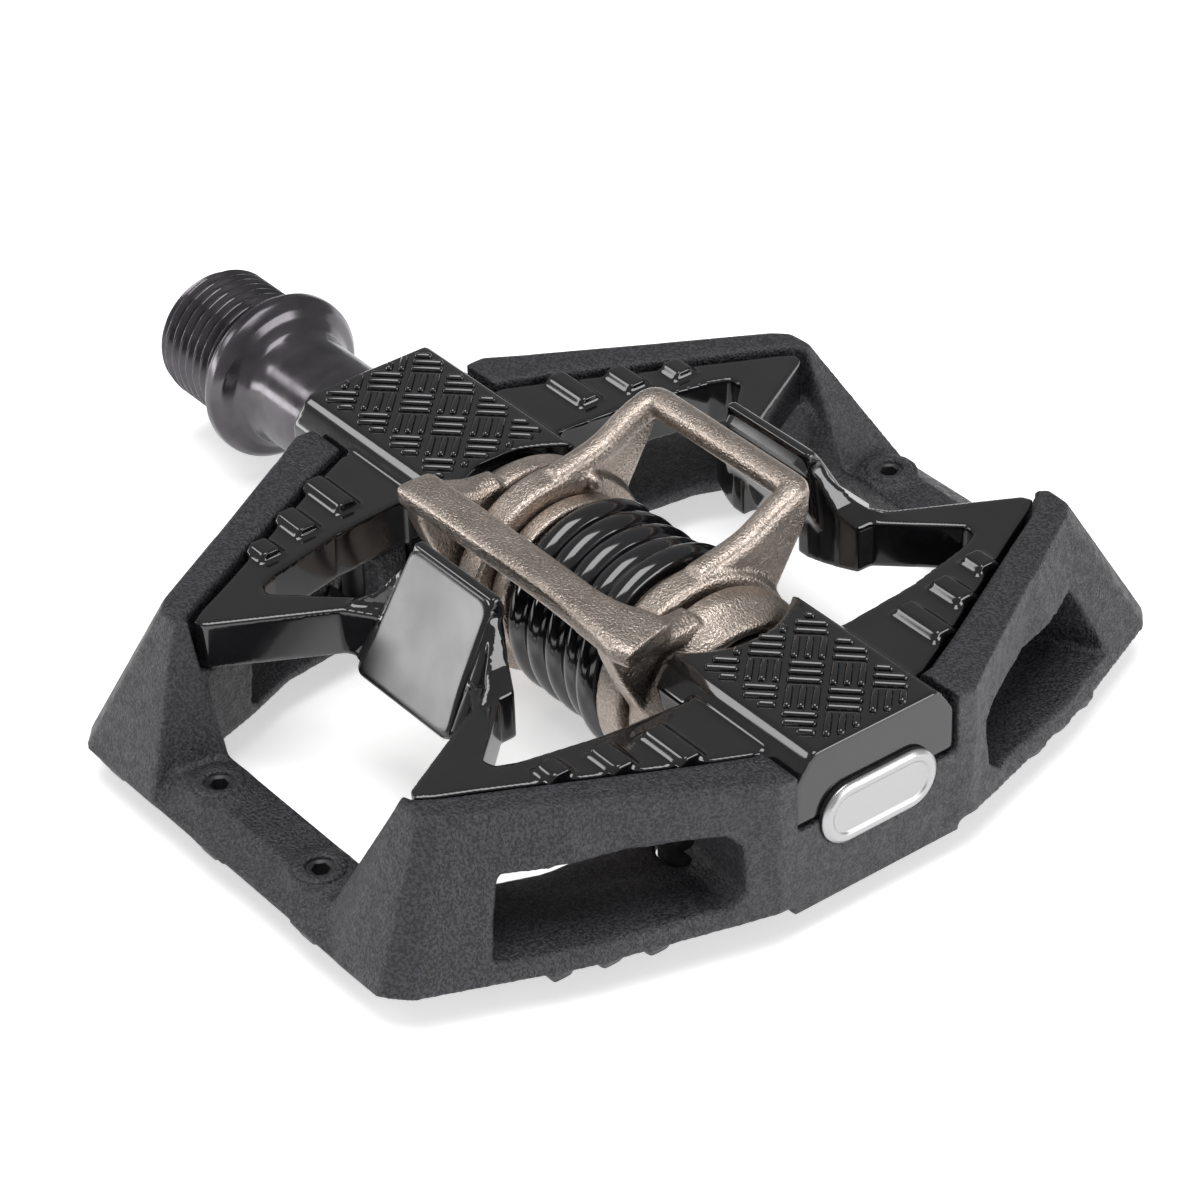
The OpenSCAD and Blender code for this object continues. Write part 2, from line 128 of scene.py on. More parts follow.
# %% Turning a profile about the spindle
def lathe(profile, around=96, joined_up=False):
    """Surface of revolution about X: the point (x, r) becomes (x, r cos a, r sin a) for a full turn of a."""
    profile = np.asarray(profile, float)
    angle = np.linspace(0, 2 * np.pi, around, endpoint=False)
    x = np.repeat(profile[:, :1], around, 1)
    return shell(
        np.stack([x, profile[:, 1:] * np.cos(angle), profile[:, 1:] * np.sin(angle)], -1), joined_up
    )


def rolled(corners, reach, steps=5, closed=False):
    """A polyline with each corner rolled: a quadratic curve from the point reach before it to the one reach after.

    With t from 0 to 1 the curve is (1 - t)^2 before + 2 t (1 - t) corner + t^2 after.
    """
    corners = np.asarray(corners, float)
    before, after = np.roll(corners, 1, 0), np.roll(corners, -1, 0)

    def towards(other):
        way = other - corners
        length = np.maximum(np.linalg.norm(way, axis=1, keepdims=True), 1e-9)
        return corners + way / length * np.minimum(reach, length * 0.48)

    t = np.linspace(0, 1, steps)[None, :, None]
    start, end = towards(before)[:, None], towards(after)[:, None]
    curve = (1 - t) ** 2 * start + 2 * t * (1 - t) * corners[:, None] + t**2 * end
    if closed:
        return curve.reshape(-1, corners.shape[1])
    return np.vstack([corners[:1], curve[1:-1].reshape(-1, corners.shape[1]), corners[-1:]])


# %% Carrying a section along a path
def carried(path, width, height, squareness=4.0, around=20, up=(0, 0, 1)):
    """Rounded bar along a path of points, width across it and height up from it, both given at each point.

    The section is the superellipse |u|^n + |v|^n = 1, with n the squareness. At each point the side is the cross
    product of the path's direction and up, and the section stands square to the direction.
    """
    path = np.asarray(path, float)
    width, height = (np.broadcast_to(np.asarray(w, float), len(path)) for w in (width, height))
    way = np.gradient(path, axis=0)
    way /= np.linalg.norm(way, axis=1, keepdims=True)
    ups = np.broadcast_to(np.asarray(up, float), path.shape)
    side = np.cross(way, ups)
    side /= np.linalg.norm(side, axis=1, keepdims=True)
    rise = np.cross(side, way)
    a = np.linspace(0, 2 * np.pi, around, endpoint=False)
    u, v = np.cos(a), np.sin(a)
    reach = (np.abs(u) ** squareness + np.abs(v) ** squareness) ** (-1 / squareness)
    u, v = u * reach / 2, v * reach / 2
    rings = path[:, None] + side[:, None] * (u * width[:, None])[..., None]
    return shell(rings + rise[:, None] * (v * height[:, None])[..., None])


def smooth_path(points, steps=9):
    """Points joined by a Catmull-Rom curve: each span is the cubic through its ends with slopes set by its
    neighbours, (next - previous) / 2."""
    points = np.asarray(points, float)
    spread_out = np.vstack([2 * points[0] - points[1], points, 2 * points[-1] - points[-2]])
    p0, p1, p2, p3 = (spread_out[n : len(spread_out) - 3 + n][:, None] for n in range(4))
    t = np.linspace(0, 1, steps, endpoint=False)[None, :, None]
    square, cube = 2 * p0 - 5 * p1 + 4 * p2 - p3, 3 * p1 - p0 - 3 * p2 + p3
    curve = 0.5 * (2 * p1 + (p2 - p0) * t + square * t**2 + cube * t**3)
    return np.vstack([curve.reshape(-1, points.shape[1]), points[-1:]])


# %% Putting finished surfaces into the scene
def join_shells(shells):
    """One list of points and faces out of several shells, each counted on from the one before."""
    points, faces, count = [], [], 0
    for shell_points, shell_faces in shells:
        points.append(shell_points)
        faces += [[corner + count for corner in face] for face in shell_faces]
        count += len(shell_points)
    return np.vstack(points), faces


def piece(name, shells, body, finish, stands_for=(), crease=35):
    """A mesh object from shells in millimetres, riding on a body and wearing a finish."""
    points, faces = join_shells(shells)
    mesh = bpy.data.meshes.new(name)
    mesh.from_pydata((points * MM).tolist(), [], faces)
    mesh.validate()
    made = bpy.data.objects.new(name, mesh)
    bpy.context.scene.collection.objects.link(made)
    return settle(made, body, finish, stands_for, crease)


def settle(made, body, finish, stands_for=(), crease=35):
    """Smooth shading up to the crease angle, the finish, and the calls that tie a piece to its body."""
    made.data.shade_smooth()
    made.data.set_sharp_from_angle(angle=np.radians(crease))
    made.data.materials.clear()
    made.data.materials.append(finish)
    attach(made, body)
    if stands_for:
        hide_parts(*stands_for)
    print(f"{made.name}: {len(made.data.polygons)} faces on {body}")
    return made


# %% [markdown]
# ## Finishes
# A finish is one Principled shader with noise behind its roughness, colour and bump. Noise reads Object coordinates,
# which stay on the piece as it turns. The grain sizes are the real ones: sand casting leaves pits of about a quarter
# of a millimetre, powder coat a grit of the same size, and turned steel rings that follow the lathe.


# %% Small helpers for node trees
def new_finish(name, colour, roughness, metallic=0.0, specular=0.5):
    """A material with one Principled shader; values that are the same everywhere sit on its own sockets."""
    finish = bpy.data.materials.new(name)
    finish.use_nodes = True
    shader = finish.node_tree.nodes["Principled BSDF"]
    shader.inputs["Base Color"].default_value = (*colour, 1)
    shader.inputs["Roughness"].default_value = roughness
    shader.inputs["Metallic"].default_value = metallic
    shader.inputs["Specular IOR Level"].default_value = specular
    finish.diffuse_color = (*colour, 1)
    return finish, finish.node_tree, shader


def grain(tree, per_metre, detail=3.0, rough=0.55, stretch=(1, 1, 1)):
    """Noise on Object coordinates with about per_metre grains in a metre; returns its value."""
    place = tree.nodes.new("ShaderNodeTexCoord")
    scale = tree.nodes.new("ShaderNodeMapping")
    scale.inputs["Scale"].default_value = stretch
    noise = tree.nodes.new("ShaderNodeTexNoise")
    noise.inputs["Scale"].default_value = per_metre
    noise.inputs["Detail"].default_value = detail
    noise.inputs["Roughness"].default_value = rough
    tree.links.new(place.outputs["Object"], scale.inputs["Vector"])
    tree.links.new(scale.outputs["Vector"], noise.inputs["Vector"])
    return noise.outputs["Fac"]


def spread(tree, value, low, high, out_low, out_high):
    """Value stretched in a straight line from low..high to out_low..out_high, and held at the ends."""
    ramp = tree.nodes.new("ShaderNodeMapRange")
    for socket, number in zip(("From Min", "From Max", "To Min", "To Max"), (low, high, out_low, out_high)):
        ramp.inputs[socket].default_value = number
    tree.links.new(value, ramp.inputs["Value"])
    return ramp.outputs["Result"]


def tint(tree, shader, value, dark, light, low=0.35, high=0.65):
    """Base colour that runs from dark to light as value goes from low to high."""
    ramp = tree.nodes.new("ShaderNodeValToRGB")
    ramp.color_ramp.elements[0].position, ramp.color_ramp.elements[1].position = low, high
    ramp.color_ramp.elements[0].color, ramp.color_ramp.elements[1].color = (*dark, 1), (*light, 1)
    tree.links.new(value, ramp.inputs["Fac"])
    tree.links.new(ramp.outputs["Color"], shader.inputs["Base Color"])


def relief(tree, shader, value, depth_mm, strength=1.0, under=None):
    """Bump of a given depth in millimetres, laid over another bump if one is given."""
    bump = tree.nodes.new("ShaderNodeBump")
    bump.inputs["Strength"].default_value = strength
    bump.inputs["Distance"].default_value = depth_mm * MM
    tree.links.new(value, bump.inputs["Height"])
    if under is not None:
        tree.links.new(under, bump.inputs["Normal"])
    tree.links.new(bump.outputs["Normal"], shader.inputs["Normal"])
    return bump.outputs["Normal"]


# %% Gloss black: painted frame, spring wire and spindle
def gloss_black(name, colour, roughness, peel_depth, wear=0.06):
    """Gloss black paint, with a faint orange peel and roughness that drifts a little."""
    finish, tree, shader = new_finish(name, colour, roughness, specular=0.85)
    drift = grain(tree, 140, 4)
    tree.links.new(spread(tree, drift, 0.3, 0.7, roughness, roughness + wear), shader.inputs["Roughness"])
    tint(tree, shader, drift, tuple(c * 0.8 for c in colour), tuple(c * 1.3 for c in colour))
    relief(tree, shader, grain(tree, 420, 2), peel_depth)
    return finish


FRAME_BLACK = gloss_black("gloss_black_alloy", (0.0055, 0.0055, 0.0065), 0.06, 0.004)
# The guide plates are rubbed duller by the shoe
RUBBED_BLACK = gloss_black("rubbed_black_alloy", (0.0065, 0.0065, 0.0078), 0.16, 0.004, 0.12)
SPRING_BLACK = gloss_black("gloss_black_spring", (0.005, 0.005, 0.0065), 0.07, 0.004)


# %% Black steel that still shows its turning marks
def turned_black():
    """Dark coated steel whose fine rings follow X, the axis it was turned about."""
    finish, tree, shader = new_finish("gloss_black_steel", (0.075, 0.070, 0.076), 0.2, 0.8)
    rings = grain(tree, 900, 2, 0.5, (1, 0.02, 0.02))
    tree.links.new(spread(tree, rings, 0.3, 0.7, 0.13, 0.25), shader.inputs["Roughness"])
    tint(tree, shader, grain(tree, 160, 3), (0.066, 0.062, 0.068), (0.118, 0.111, 0.120))
    relief(tree, shader, rings, 0.003)
    return finish


SPINDLE_BLACK = turned_black()


# %% Powder coat over a rough casting
def speckled_cage():
    """Near-black powder coat over a leathery relief: a fine grit whose colour is a painted highlight on its crests and
    painted shade in its pits.
    """
    finish, tree, shader = new_finish("matte_cage_cast", (0.030, 0.029, 0.032), 0.5, specular=0.6)
    grit_and_painted_light, leather = grain(tree, 3600, 2, 0.6), grain(tree, 1100, 3, 0.55)
    # Painted light: the grit's colour runs from black in its pits to pale on its crests, following its own relief, as
    # painted shade and painted highlight.
    tint(tree, shader, grit_and_painted_light, (0.0035, 0.003, 0.0045), (0.034, 0.032, 0.039), 0.44, 0.58)
    tree.links.new(spread(tree, leather, 0.35, 0.65, 0.40, 0.62), shader.inputs["Roughness"])
    coarse = relief(tree, shader, leather, 0.10, 0.8)
    relief(tree, shader, grit_and_painted_light, 0.20, 1.0, coarse)
    return finish


CAGE_GREY = speckled_cage()


# %% Sand-cast steel of the wings and collars
def cast_bronze():
    """Warm grey cast metal: shallow sand pits that catch the light, over broader and duller patches."""
    finish, tree, shader = new_finish("cast_bronze_steel", (0.30, 0.255, 0.225), 0.3, 1.0)
    sand, patch = grain(tree, 4200, 2, 0.55), grain(tree, 300, 3)
    tint(tree, shader, sand, (0.34, 0.288, 0.250), (0.54, 0.465, 0.410), 0.34, 0.66)
    tree.links.new(spread(tree, patch, 0.35, 0.65, 0.27, 0.39), shader.inputs["Roughness"])
    coarse = relief(tree, shader, patch, 0.12, 0.4)
    relief(tree, shader, sand, 0.11, 1.0, coarse)
    return finish


CAST_BRONZE = cast_bronze()


# %% Satin silver cap
def satin_silver():
    """Pressed aluminium, brushed along the cap, so the fine lines run across the spindle."""
    finish, tree, shader = new_finish("satin_silver", (0.44, 0.44, 0.445), 0.34, 0.85)
    brushed = grain(tree, 1500, 2, 0.5, (1, 0.08, 1))
    tree.links.new(spread(tree, brushed, 0.3, 0.7, 0.26, 0.40), shader.inputs["Roughness"])
    relief(tree, shader, brushed, 0.004)
    return finish


SATIN_SILVER = satin_silver()


# %% Finishes of the small and inner pieces
def plain_metal(name, dark, light, roughness, metallic=1.0, per_metre=700):
    """Ground or turned metal: colour and roughness drift over the surface, with a very fine relief."""
    finish, tree, shader = new_finish(name, light, roughness, metallic)
    marks = grain(tree, per_metre, 3, 0.5, (1, 0.1, 0.1))
    tint(tree, shader, marks, dark, light)
    tree.links.new(spread(tree, marks, 0.3, 0.7, roughness * 0.8, roughness * 1.25), shader.inputs["Roughness"])
    relief(tree, shader, marks, 0.004)
    return finish


def soft_matter(name, dark, light, roughness):
    """Rubber or polymer: a dull surface with a soft moulded grain."""
    finish, tree, shader = new_finish(name, light, roughness, specular=0.35)
    skin = grain(tree, 1200, 3)
    tint(tree, shader, skin, dark, light)
    relief(tree, shader, skin, 0.02, 0.6)
    return finish


OTHER_FINISHES = {
    "bearing_steel": plain_metal("bearing_steel", (0.50, 0.50, 0.51), (0.68, 0.68, 0.69), 0.18),
    "dark_steel": plain_metal("dark_steel", (0.085, 0.085, 0.092), (0.17, 0.17, 0.18), 0.27),
    "bearing_brass": plain_metal("bearing_brass", (0.52, 0.38, 0.17), (0.72, 0.55, 0.27), 0.3),
    "black_rubber": soft_matter("black_rubber", (0.012, 0.012, 0.012), (0.028, 0.028, 0.028), 0.75),
    "bushing_polymer": soft_matter("bushing_polymer", (0.50, 0.44, 0.33), (0.62, 0.56, 0.43), 0.5),
    "black_screw_steel": plain_metal("black_screw_steel", (0.02, 0.02, 0.022), (0.045, 0.045, 0.048), 0.42, 0.4),
    "gloss_black_steel": SPINDLE_BLACK,
    "gloss_black_alloy": FRAME_BLACK,
    "matte_cage_cast": CAGE_GREY,
    "satin_silver": SATIN_SILVER,
    "cast_bronze_steel": CAST_BRONZE,
    "gloss_black_spring": SPRING_BLACK,
}
for entry in frame["record"]["subparts"]:
    node_object = frame["nodes"][entry["node"]]
    node_object.data.materials.clear()
    node_object.data.materials.append(OTHER_FINISHES[entry["material_slot"]])
print("finishes", len(OTHER_FINISHES))

# %% [markdown]
# ## Spindle
# One forging, turned and then threaded: a right-hand 9/16 inch thread with 20 turns to the inch, a flange with a
# rolled rim, a sweep down to the neck, and slimmer journals inside the body. It is one function of two parameters,
# the distance along the profile and the angle: the thread is a ripple of the radius that moves along by one pitch in
# each turn, and the hex socket in the end is a radius that swells towards its six corners.

# %% Profile of the spindle
PITCH = 1.27
THREAD_END = float(node_box("spindle")[0][0])
SPINDLE_END = float(node_box("spindle")[1][0])
THREAD_R, SOCKET_FLAT, SOCKET_DEEP = 7.145, 4.0, 8.0
NECK_R, FLANGE_R, THREAD_DEPTH = 6.0, 9.0, 0.72

socket = [(THREAD_END + SOCKET_DEEP, 0.02), (THREAD_END + SOCKET_DEEP, SOCKET_FLAT), (THREAD_END + 0.4, SOCKET_FLAT)]
end_face = [(THREAD_END, SOCKET_FLAT + 0.5), (THREAD_END, THREAD_R - 0.9)]
thread_x = np.arange(THREAD_END + 0.55, -0.9, PITCH / 14)
relief_groove = [(-0.75, THREAD_R - 0.75), (-0.12, THREAD_R - 0.75)]
flange = rolled(
    [(0, THREAD_R - 0.3), (0, 8.62), (0.42, 8.62), (0.50, 8.5), (0.60, 8.62), (0.66, FLANGE_R),
     (1.75, FLANGE_R - 0.05), (2.6, 8.25), (3.2, 7.15), (4.1, 6.35), (5.6, NECK_R)], 0.3, 4)
journals = rolled([(5.6, NECK_R), (24, NECK_R), (24, 5.5), (35.5, 5.5), (35.5, 5.0), (77, 5.0), (77, 3.0),
                   (SPINDLE_END, 3.0), (SPINDLE_END, 0.02)], 0.25, 4)[1:]
thread_line = np.stack([thread_x, np.full(len(thread_x), THREAD_R)], -1)
spindle_profile = np.vstack([socket, end_face, thread_line, relief_groove, flange, journals])
in_thread = np.zeros(len(spindle_profile), bool)
in_thread[len(socket) + len(end_face) :][: len(thread_x)] = True
in_socket = np.arange(len(spindle_profile)) < len(socket)
print("spindle from", THREAD_END, "to", SPINDLE_END, "with", len(thread_x), "steps along the thread")


# %% Spindle surface
def spindle_rings(around=144):
    """Rings of the spindle.

    Thread: radius = major - depth * ripple, where ripple is the distance of x / pitch - a / turn from its nearest
    crest, flattened at crest and root, and faded over the first and last turn.
    Socket: radius = flat / cos(a folded into the nearest sixth of a turn).
    """
    angle = np.linspace(0, 2 * np.pi, around, endpoint=False)
    x, r = spindle_profile[:, :1], np.repeat(spindle_profile[:, 1:], around, 1)
    turn = x / PITCH - angle / (2 * np.pi)
    ripple = np.clip(np.abs(turn - np.round(turn)) * 2.5 - 0.12, 0, 1)
    fade = np.clip((x - THREAD_END) / 1.1, 0, 1)
    r = np.where(in_thread[:, None], r - THREAD_DEPTH * (1 - (1 - ripple) * fade), r)
    sixth = np.mod(angle, np.pi / 3) - np.pi / 6
    r = np.where(in_socket[:, None] & (r > 1), r / np.cos(sixth), r)
    return np.stack([np.repeat(x, around, 1), r * np.cos(angle), r * np.sin(angle)], -1)


piece("threaded_spindle", [shell(spindle_rings())], "spindle_group", SPINDLE_BLACK,
      ["spindle"], 50)

# %% [markdown]
# ## Frame and cage
# Both are castings, so no edge is truly sharp: a thin bright line runs along every edge of the gloss frame, and that
# line is what makes paint read as paint. A Bevel would need clean edge loops, which a machined solid doesn't have.
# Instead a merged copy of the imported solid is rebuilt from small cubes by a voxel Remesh, and a Smooth then rolls
# the outside edges and fills the inside corners by the same small radius, as the pattern in a foundry does. A
# Decimate then spends fewer faces where the casting is flat, and weighted normals keep those places flat in the light.


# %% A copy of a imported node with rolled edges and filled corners
def softened_copy(node, name, body, finish, voxel, rounds, keep):
    """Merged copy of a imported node, rebuilt on a grid of voxel millimetres and smoothed the given rounds."""
    mesh = frame["nodes"][node].data.copy()
    work = bmesh.new()
    work.from_mesh(mesh)
    bmesh.ops.remove_doubles(work, verts=work.verts, dist=2e-6)
    work.to_mesh(mesh)
    work.free()
    mesh.name = name
    made = bpy.data.objects.new(name, mesh)
    bpy.context.scene.collection.objects.link(made)
    settle(made, body, finish, [node], 180)
    cast(made, voxel, rounds, keep)
    return made


def cast(made, voxel, rounds, keep=1.0):
    """The modifiers that every casting ends with: fuse, soften, and thin out the flat faces to a share of keep."""
    fuse = made.modifiers.new("fused", "REMESH")
    fuse.mode, fuse.voxel_size, fuse.use_smooth_shade = "VOXEL", voxel * MM, True
    soft = made.modifiers.new("softened", "SMOOTH")
    soft.factor, soft.iterations = 0.5, rounds
    if keep < 1:
        made.modifiers.new("fewer_faces", "DECIMATE").ratio = keep
        made.modifiers.new("flat_faces_stay_flat", "WEIGHTED_NORMAL").weight = 80
    made_mesh = made.evaluated_get(bpy.context.evaluated_depsgraph_get()).data
    print(made.name, "faces after fusing", len(made_mesh.polygons))


softened_copy("clip_frame", "gloss_frame", "platform", FRAME_BLACK, 0.24, 5, 0.5)
softened_copy("platform_cage", "rough_cage", "platform", CAGE_GREY, 0.30, 6, 0.5)

# %% [markdown]
# ## Guide plates
# Between the two struts of each side a plate slopes up towards the wings. Its face is one soft panel with rolled
# corners, made as a row of outlines parallel to the face that grow as they go back, like a bar of soap. A tapering
# rib along each side leads it into the struts.

# %% Guide plates
FOOT_Y, FOOT_Z, CREST_Y, CREST_Z = -25.6, 1.6, -18.85, 13.42
PROUD, DRAW_SPAN = 0.12, 6
# How far each outline is drawn in, and how far it lies behind the face
PLATE_OUTLINES = ((0.75, 0), (0.5, 0), (0.28, 0.05), (0.1, 0.18), (0, 0.45), (0, 1.2), (0.2, 2.2))


def guide_plate():
    """Outlines of the plate: its corners, rolled, drawn in towards the middle of the face and set back from it.

    A point is foot + u across + w up the slope - back along the normal, and an outline that is drawn in by d
    millimetres has each (u, w) moved towards the middle by the share d / DRAW_SPAN of its distance.
    """
    foot, crest = np.array([0, FOOT_Y, FOOT_Z]), np.array([0, CREST_Y, CREST_Z])
    slope = (crest - foot) / np.linalg.norm(crest - foot)
    normal = np.cross([1, 0, 0], slope)
    length = np.linalg.norm(crest - foot)
    flat = [(7.4, 0), (6.6, length * 0.35), (6.15, length), (-6.15, length), (-6.6, length * 0.35), (-7.4, 0)]
    flat = rolled(flat, 1.5, 6, closed=True)
    middle = np.array([0, length / 2])
    rings = []
    for drawn_in, back in PLATE_OUTLINES:
        share = 1 - drawn_in / DRAW_SPAN
        spot = middle + (flat - middle) * share
        rings.append([MIDDLE, 0, 0] + foot + spot[:, :1] * [1, 0, 0] + spot[:, 1:] * slope
                     + normal * (PROUD - back))
    return np.array(rings)


plate_rings = guide_plate()
edge = smooth_path([(7.0, -23.7, 1.9), (6.7, -21.9, 5.2), (6.3, -20.2, 8.6), (5.7, -19.2, 10.8)], 6)
edge_width = np.linspace(2.8, 1.2, len(edge))
plates = [shell(plate_rings)]
for end in (-1, 1):
    plates.append(carried(edge * [end, 1, 1] + [MIDDLE, 0, 0], edge_width, edge_width, 2.4, up=(0, -1, 0.4)))
plates.append(shell(plate_rings * [1, -1, 1]))
piece("guide_plates", plates, "platform", RUBBED_BLACK)

# %% [markdown]
# ## Tread
# The two pads beside the mechanism have a basket-weave tread: square cells, turned 45 degrees to the spindle, with
# three short bars in each, and the bars turn by a right angle from one cell to the next. Every bar is the same
# rounded loaf, so all of them are worked out together as one array of bars by points.

# %% Where the bars lie
CELL, BAR_WIDTH, BAR_HEIGHT = 3.79, 0.80, 0.42
PAD_TOP, PAD_HALF = 8.3, 6.75
PAD_ENDS = [(frame_low[0] + 0.55, MIDDLE), (MIDDLE, frame_high[0] - 0.55)]
POCKET_END = 19.9


def bar_ends():
    """Ends of every bar: three lines in each cell, cut where they leave the pad.

    Cell (m, n) has its centre at m, n cells along two axes that lie at 45 degrees. Its lines run along the first
    axis when m + n is even and along the second when it is odd. Each line is sampled, and the samples on the pad
    give its ends.
    """
    m, n, k = np.meshgrid(np.arange(-24, 25), np.arange(-24, 25), np.arange(-1, 2), indexing="ij")
    even = ((m + n) % 2 == 0)[..., None]
    axis_a, axis_b = np.array([1, 1]) / np.sqrt(2), np.array([1, -1]) / np.sqrt(2)
    centre = (m[..., None] * axis_a + n[..., None] * axis_b) * CELL
    along, across = np.where(even, axis_a, axis_b), np.where(even, axis_b, axis_a)
    centre = centre + across * k[..., None] * CELL / 3.05
    t = np.linspace(-0.44, 0.44, 23) * CELL
    line = centre[..., None, :] + along[..., None, :] * t[:, None]
    x, y = line[..., 0], line[..., 1]
    on_pad = (np.abs(y) < PAD_HALF - 0.3) & (np.abs(x) > POCKET_END)
    on_pad &= (x + MIDDLE > PAD_ENDS[0][0]) & (x + MIDDLE < PAD_ENDS[1][1])
    count = on_pad.sum(-1)
    low = np.argmax(on_pad, -1)
    high = low + count - 1
    keep = count >= 6
    pick = lambda index: np.take_along_axis(line, index[..., None, None], -2)[..., 0, :]
    return pick(low)[keep], pick(high)[keep]


bar_from, bar_to = bar_ends()
print("tread bars", len(bar_from))


# %% Tread surface
def tread_points(across=8, rings=7):
    """Points [bar, ring, column, xyz] of rounded loaves.

    A ring is an oval of the bar's outline, drawn in as it climbs: with s from 0 to 1 its inset is
    half width * (1 - sqrt(1 - s^2)) and its height is bar height * s.
    """
    centre, half = (bar_from + bar_to) / 2, (bar_to - bar_from) / 2
    length = np.linalg.norm(half, axis=1)
    along = half / length[:, None]
    side = np.stack([-along[:, 1], along[:, 0]], -1)
    a = np.linspace(0, 2 * np.pi, 2 * across, endpoint=False) + np.pi / (2 * across)
    s = np.linspace(0, 0.97, rings)
    radius = BAR_WIDTH / 2 * np.sqrt(1 - s**2)
    u = radius[None, :, None] * np.cos(a) + np.sign(np.cos(a)) * (length[:, None, None] - BAR_WIDTH / 2)
    v = radius[None, :, None] * np.sin(a) * np.ones_like(u)
    flat = centre[:, None, None] + u[..., None] * along[:, None, None] + v[..., None] * side[:, None, None]
    z = np.broadcast_to((PAD_TOP - 0.05 + (BAR_HEIGHT + 0.05) * s)[None, :, None], u.shape)
    return np.concatenate([flat + [MIDDLE, 0], z[..., None]], -1)


piece("tread_bars", [shell(bar) for bar in tread_points()], "platform", FRAME_BLACK)

# %% [markdown]
# ## Wings
# Each wing is one casting: two rings that turn on the tube, two arms and a bar that the cleat snaps under. Sand
# casting rounds every inside corner, so the shapes are first laid over each other as simple closed shells and then
# fused with a voxel Remesh and a Smooth, which leaves the same soft fillets that a foundry pattern has.


# %% Plates and rings
def slab(outline, x0, x1, bulge=0.25):
    """Plate with a closed outline in y and z between two stations in x, its rims drawn in by a small roll."""
    outline = rolled(outline, 0.9, 4, closed=True)
    centre = outline.mean(0)
    x = np.array([x0, x0 + bulge, x1 - bulge, x1])
    shrink = np.array([0.955, 1, 1, 0.955])
    yz = centre + (outline - centre)[None] * shrink[:, None, None]
    return shell(np.concatenate([np.broadcast_to(x[:, None, None], yz.shape[:2] + (1,)), yz], -1))


def ring_shell(x0, x1, r_in, r_out, r_out2=None, roll=0.45):
    """Ring about X from x0 to x1, its outside running straight from r_out to r_out2, all four rims rolled."""
    r_out2 = r_out if r_out2 is None else r_out2
    return lathe(rolled([(x0, r_in), (x0, r_out), (x1, r_out2), (x1, r_in)], roll, 5, closed=True), 96, True)


def fused(name, shells, body, finish, stands_for, voxel=0.24, rounds=6):
    """Shells that overlap, fused by a voxel Remesh and softened by a Smooth."""
    made = piece(name, shells, body, finish, stands_for, 180)
    cast(made, voxel, rounds)
    return made


# %% Outer wing
BORE_R = 7.0
outer_shells = []
for end in (-1, 1):
    near, mid, far = (MIDDLE + end * x for x in (13.35, 15.6, 18.0))
    outer_shells.append(ring_shell(*sorted((near, mid)), BORE_R, 9.9))
    outer_shells.append(
        ring_shell(mid, far, BORE_R, 9.9, 8.1) if end > 0 else ring_shell(far, mid, BORE_R, 8.1, 9.9)
    )
bar_path = np.array([(-16.2, -11.6, 11.3), (-15.2, -11.6, 11.45), (-12, -11.5, 11.5), (-4, -11.45, 11.5),
                     (4, -11.45, 11.5), (9, -11.5, 11.4), (12.5, -11.3, 11.3), (15.5, -10.7, 11.1),
                     (17.6, -10.2, 10.9)])
bar_path += [MIDDLE, 0, 0]
outer_shells.append(carried(smooth_path(bar_path), smooth_path(
    np.array([[4.0], [4.3], [4.2], [4.1], [4.1], [4.2], [5.0], [6.6], [6.4]]))[:, 0], 2.2, 7))
for end, foot in ((-1, 15.0), (1, 14.9)):
    x = MIDDLE + end * foot
    saddle = smooth_path([(x - end * 0.3, -12.4, 10.8), (x, -9.0, 9.9), (x, -6.2, 9.0), (x - end * 0.2, -3.4, 8.9)])
    outer_shells.append(carried(saddle, np.linspace(3.6, 3.0, len(saddle)), 2.6, 3, up=(0, 0.3, 1)))
arm_outline = [(-4.6, 9.0), (-7.6, 9.6), (-9.8, 11.6), (-13.0, 11.4), (-13.3, 9.8), (-12.0, 6.4), (-9.6, 1.6),
               (-8.2, -1.4), (-7.1, -0.6), (-7.1, 4.0)]
outer_shells.append(slab(arm_outline, MIDDLE - 15.6, MIDDLE - 13.35))
outer_shells.append(slab(arm_outline, MIDDLE + 13.35, MIDDLE + 15.6))
fused("cast_outer_wing", outer_shells, "outer_wing", CAST_BRONZE, ["outer_wing"])

# %% Inner wing
inner_shells = []
for end in (-1, 1):
    low, high = sorted((MIDDLE + end * 9.25, MIDDLE + end * 12.55))
    inner_shells.append(ring_shell(low, high, BORE_R, 10.45))
    web = [(2.4, 9.6), (5.2, 10.8), (11.4, 13.6), (13.4, 13.6), (12.9, 11.6), (9.3, 5.6), (8.2, 3.2), (7.1, 4.0)]
    inner_shells.append(slab(web, *sorted((MIDDLE + end * 10.3, MIDDLE + end * 11.9))))
    nub = rolled([(-0.7, 0.02), (-0.7, 0.9), (0.75, 0.75), (0.75, 0.02)], 0.25, 4) + [MIDDLE + end * 8.9, 0]
    points, faces = lathe(nub, 20)
    inner_shells.append((points + [0, 3.9, 9.2], faces))
loop = smooth_path([(-10.7, 0.5, 9.8), (-10.7, 3.4, 10.3), (-10.7, 6.6, 11.1), (-10.7, 9.6, 12.7),
                    (-10.6, 11.7, 13.6)])
loop = np.vstack([loop, rolled([(-10.6, 11.9, 13.7), (-10.4, 12.8, 13.85), (-9.0, 12.85, 13.85)], 1.0, 4)])
loop = np.vstack([loop, loop[::-1] * [-1, 1, 1]]) + [MIDDLE, 0, 0]
inner_shells.append(carried(loop, 2.7, 2.5, 3.2))
fused("cast_inner_wing", inner_shells, "inner_wing", CAST_BRONZE, ["inner_wing"])

# %% [markdown]
# ## Spring and collars
# The spring is one length of round wire wound close round the tube. Its centre line is a helix, and the wire's own
# circle is carried along it. The last part of the coil swings out over the collar to press on the wing.

